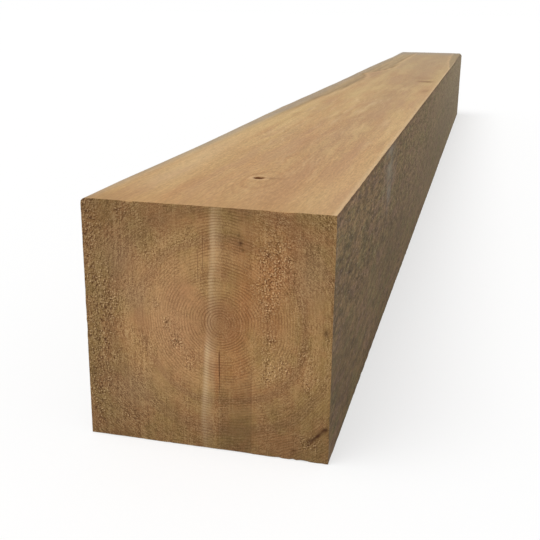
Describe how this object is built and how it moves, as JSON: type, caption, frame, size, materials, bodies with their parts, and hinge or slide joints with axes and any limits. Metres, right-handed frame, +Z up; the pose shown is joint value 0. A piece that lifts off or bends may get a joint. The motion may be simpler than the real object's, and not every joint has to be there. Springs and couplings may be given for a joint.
{
  "type": "rough-sawn timber beam",
  "caption": "Square rough-sawn softwood beam with boxed heart, a heart check in its butt end, a loose pin knot on top and wane on its upper arrises, for framing or landscaping.",
  "frame": {"origin": "middle of the bottom face, on the surface that the beam lies on", "axes": "+Y along the beam from the butt end to the top end of the log, +X to the right seen from the butt end, +Z up out of the top face"},
  "size_m": [0.2032, 2.4384, 0.2032],
  "materials": {
    "rough_sawn_cypress": "rough-sawn, unfinished, dry and matt, golden brown, darker on the end grain and weathered sides"
  },
  "bodies": {
    "root": {"beam": "rough_sawn_cypress"}
  },
  "joints": []
}
